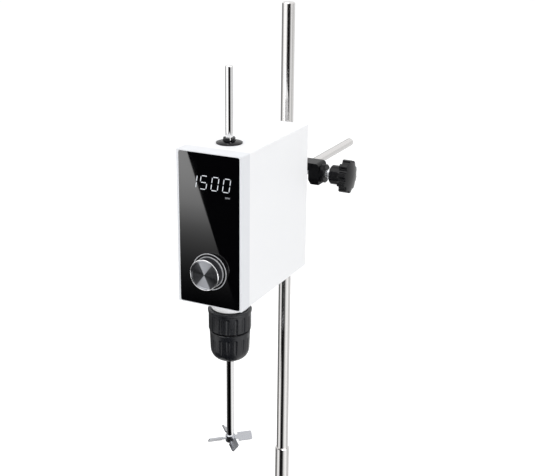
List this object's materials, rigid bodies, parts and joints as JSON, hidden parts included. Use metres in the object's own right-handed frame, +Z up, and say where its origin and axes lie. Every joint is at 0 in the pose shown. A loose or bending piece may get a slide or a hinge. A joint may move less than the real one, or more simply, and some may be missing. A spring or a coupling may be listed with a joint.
{
  "type": "overhead stirrer",
  "caption": "Overhead laboratory stirrer: box drive head with glass panel and speed knob, keyless chuck, stirring rod and pitched impeller, clamped by a boss head to a plate stand.",
  "frame": {"origin": "on the floor, at the middle of the whole footprint; the support rod's axis is at X = 0", "axes": "+Z up along the support rod; the stirrer head's panel faces -Y and its mounting bar runs along +Y; +X is to the right of someone who faces the panel"},
  "size_m": [0.2, 0.448, 0.7],
  "materials": {
    "shell_white": "satin",
    "panel_glass": "polished, opaque black",
    "bright_trim": "polished",
    "spun_metal": "spun face, bright rim",
    "knob_black": "fine knurl",
    "rod_steel": "ground and polished stainless steel",
    "stir_steel": "polished stainless steel",
    "blade_steel": "satin stainless steel",
    "chuck_black": "satin moulded",
    "chuck_steel": "turned steel",
    "cap_black": "gloss moulded",
    "boss_black": "black coated casting",
    "knob_bakelite": "black moulded",
    "zinc_steel": "plated",
    "pad_brass": "turned",
    "plate_paint": "textured white coating",
    "foot_rubber": "matt",
    "bumper_rubber": "matt",
    "cast_alloy": "as cast",
    "motor_steel": "plated",
    "bearing_bronze": "sintered",
    "gear_plastic": "natural moulded",
    "board_green": "coated board",
    "display_light": "lit white segments",
    "socket_black": "moulded",
    "pin_brass": "plated"
  },
  "bodies": {
    "stand": {"base_plate": "plate_paint", "base_foot_1": "foot_rubber", "base_foot_2": "foot_rubber", "base_foot_3": "foot_rubber", "base_foot_4": "foot_rubber", "foot_screws": "zinc_steel", "support_rod": "rod_steel", "rod_socket": "rod_steel", "rod_bolt": "zinc_steel"},
    "boss": {"boss_head": "boss_black"},
    "rod_clamp_pad": {"rod_clamp_pad": "pad_brass"},
    "rod_clamp_knob": {"rod_clamp_screw": "zinc_steel", "rod_clamp_knob": "knob_bakelite"},
    "bar_clamp_pad": {"bar_clamp_pad": "pad_brass"},
    "bar_clamp_knob": {"bar_clamp_screw": "zinc_steel", "bar_clamp_knob": "knob_bakelite"},
    "stirrer_head": {"upper_housing": "shell_white", "lower_housing": "shell_white", "front_frame": "shell_white", "front_panel": "panel_glass", "display_module": "display_light", "display_board": "board_green", "rear_cover": "shell_white", "cover_screws": "zinc_steel", "mounting_bar": "rod_steel", "chassis": "cast_alloy", "motor_can": "motor_steel", "motor_cap": "motor_steel", "lower_bearing": "bearing_bronze", "upper_bearing": "bearing_bronze", "control_board": "board_green", "power_board": "board_green", "encoder_body": "socket_black", "panel_ring": "bright_trim", "power_inlet": "socket_black", "inlet_pins": "pin_brass", "switch_frame": "socket_black", "nose_boss": "shell_white", "top_cap": "cap_black", "underside_bumpers": "bumper_rubber"},
    "spindle": {"spindle_tube": "chuck_steel", "drive_gear": "gear_plastic", "top_guide": "cap_black", "chuck_body": "chuck_steel", "chuck_rear_sleeve": "chuck_black"},
    "rotor": {"motor_rotor": "motor_steel", "motor_pinion": "chuck_steel"},
    "chuck_sleeve": {"chuck_front_sleeve": "chuck_black", "chuck_ring_nut": "chuck_steel"},
    "jaw_1": {"chuck_jaw_1": "chuck_steel"},
    "jaw_2": {"chuck_jaw_2": "chuck_steel"},
    "jaw_3": {"chuck_jaw_3": "chuck_steel"},
    "stirring_rod": {"stirring_rod": "stir_steel", "impeller": "blade_steel"},
    "encoder_plunger": {"encoder_plunger": "zinc_steel"},
    "speed_knob": {"encoder_shaft": "zinc_steel", "speed_knob": "knob_black", "knob_skirt_ring": "bright_trim", "knob_cap": "spun_metal"},
    "power_rocker": {"power_rocker": "knob_bakelite"}
  },
  "joints": [
    {"name": "boss_height", "type": "slide", "parent": "stand", "child": "boss", "axis": [0, 0, 1], "range_m": [-0.125, 0.17]},
    {"name": "head_reach", "type": "slide", "parent": "boss", "child": "stirrer_head", "axis": [0, 1, 0], "range_m": [-0.12, 0.035]},
    {"name": "rod_clamp_travel", "type": "slide", "parent": "boss", "child": "rod_clamp_pad", "axis": [-1, 0, 0], "range_m": [0, 0.00601]},
    {"name": "rod_clamp_turn", "type": "hinge", "parent": "rod_clamp_pad", "child": "rod_clamp_knob", "pos_m": [-0.03, 0.071, 0.505], "axis": [-1, 0, 0], "range_deg": [0, 1728]},
    {"name": "bar_clamp_travel", "type": "slide", "parent": "boss", "child": "bar_clamp_pad", "axis": [1, 0, 0], "range_m": [0, 0.00601]},
    {"name": "bar_clamp_turn", "type": "hinge", "parent": "bar_clamp_pad", "child": "bar_clamp_knob", "pos_m": [0.05, 0.071, 0.505], "axis": [1, 0, 0], "range_deg": [0, 1728]},
    {"name": "spindle_turn", "type": "hinge", "parent": "stirrer_head", "child": "spindle", "pos_m": [0.019, -0.1072, 0.45], "axis": [0, 0, 1], "continuous": true},
    {"name": "rotor_turn", "type": "hinge", "parent": "stirrer_head", "child": "rotor", "pos_m": [0.019, -0.0672, 0.45], "axis": [0, 0, 1], "continuous": true},
    {"name": "chuck_sleeve_turn", "type": "hinge", "parent": "spindle", "child": "chuck_sleeve", "pos_m": [0.019, -0.1072, 0.36], "axis": [0, 0, -1], "range_deg": [0, 720]},
    {"name": "jaw_1_slide", "type": "slide", "parent": "spindle", "child": "jaw_1", "axis": [0, 0.2924, 0.9563], "range_m": [0, 0.00321]},
    {"name": "jaw_2_slide", "type": "slide", "parent": "spindle", "child": "jaw_2", "axis": [-0.2532, -0.1462, 0.9563], "range_m": [0, 0.00321]},
    {"name": "jaw_3_slide", "type": "slide", "parent": "spindle", "child": "jaw_3", "axis": [0.2532, -0.1462, 0.9563], "range_m": [0, 0.00321]},
    {"name": "stirring_rod_slide", "type": "slide", "parent": "spindle", "child": "stirring_rod", "axis": [0, 0, 1], "range_m": [-0.08, 0.075]},
    {"name": "knob_push", "type": "slide", "parent": "stirrer_head", "child": "encoder_plunger", "axis": [0, 1, 0], "range_m": [0, 0.0005], "stiffness_N_per_m": 3000, "springref_m": -0.0005},
    {"name": "knob_turn", "type": "hinge", "parent": "encoder_plunger", "child": "speed_knob", "pos_m": [0.019, -0.151, 0.4515], "axis": [0, -1, 0], "continuous": true},
    {"name": "rocker_tilt", "type": "hinge", "parent": "stirrer_head", "child": "power_rocker", "pos_m": [0.019, 0.004, 0.471], "axis": [1, 0, 0], "range_deg": [-14, 0]}
  ],
  "couplings": [
    {"joint": "rod_clamp_travel", "follows": "rod_clamp_turn", "m_per_rad": 0.00019894},
    {"joint": "bar_clamp_travel", "follows": "bar_clamp_turn", "m_per_rad": 0.00019894},
    {"joint": "rotor_turn", "follows": "spindle_turn", "ratio": -3},
    {"joint": "jaw_1_slide", "follows": "chuck_sleeve_turn", "m_per_rad": 0.00025465},
    {"joint": "jaw_2_slide", "follows": "chuck_sleeve_turn", "m_per_rad": 0.00025465},
    {"joint": "jaw_3_slide", "follows": "chuck_sleeve_turn", "m_per_rad": 0.00025465}
  ]
}
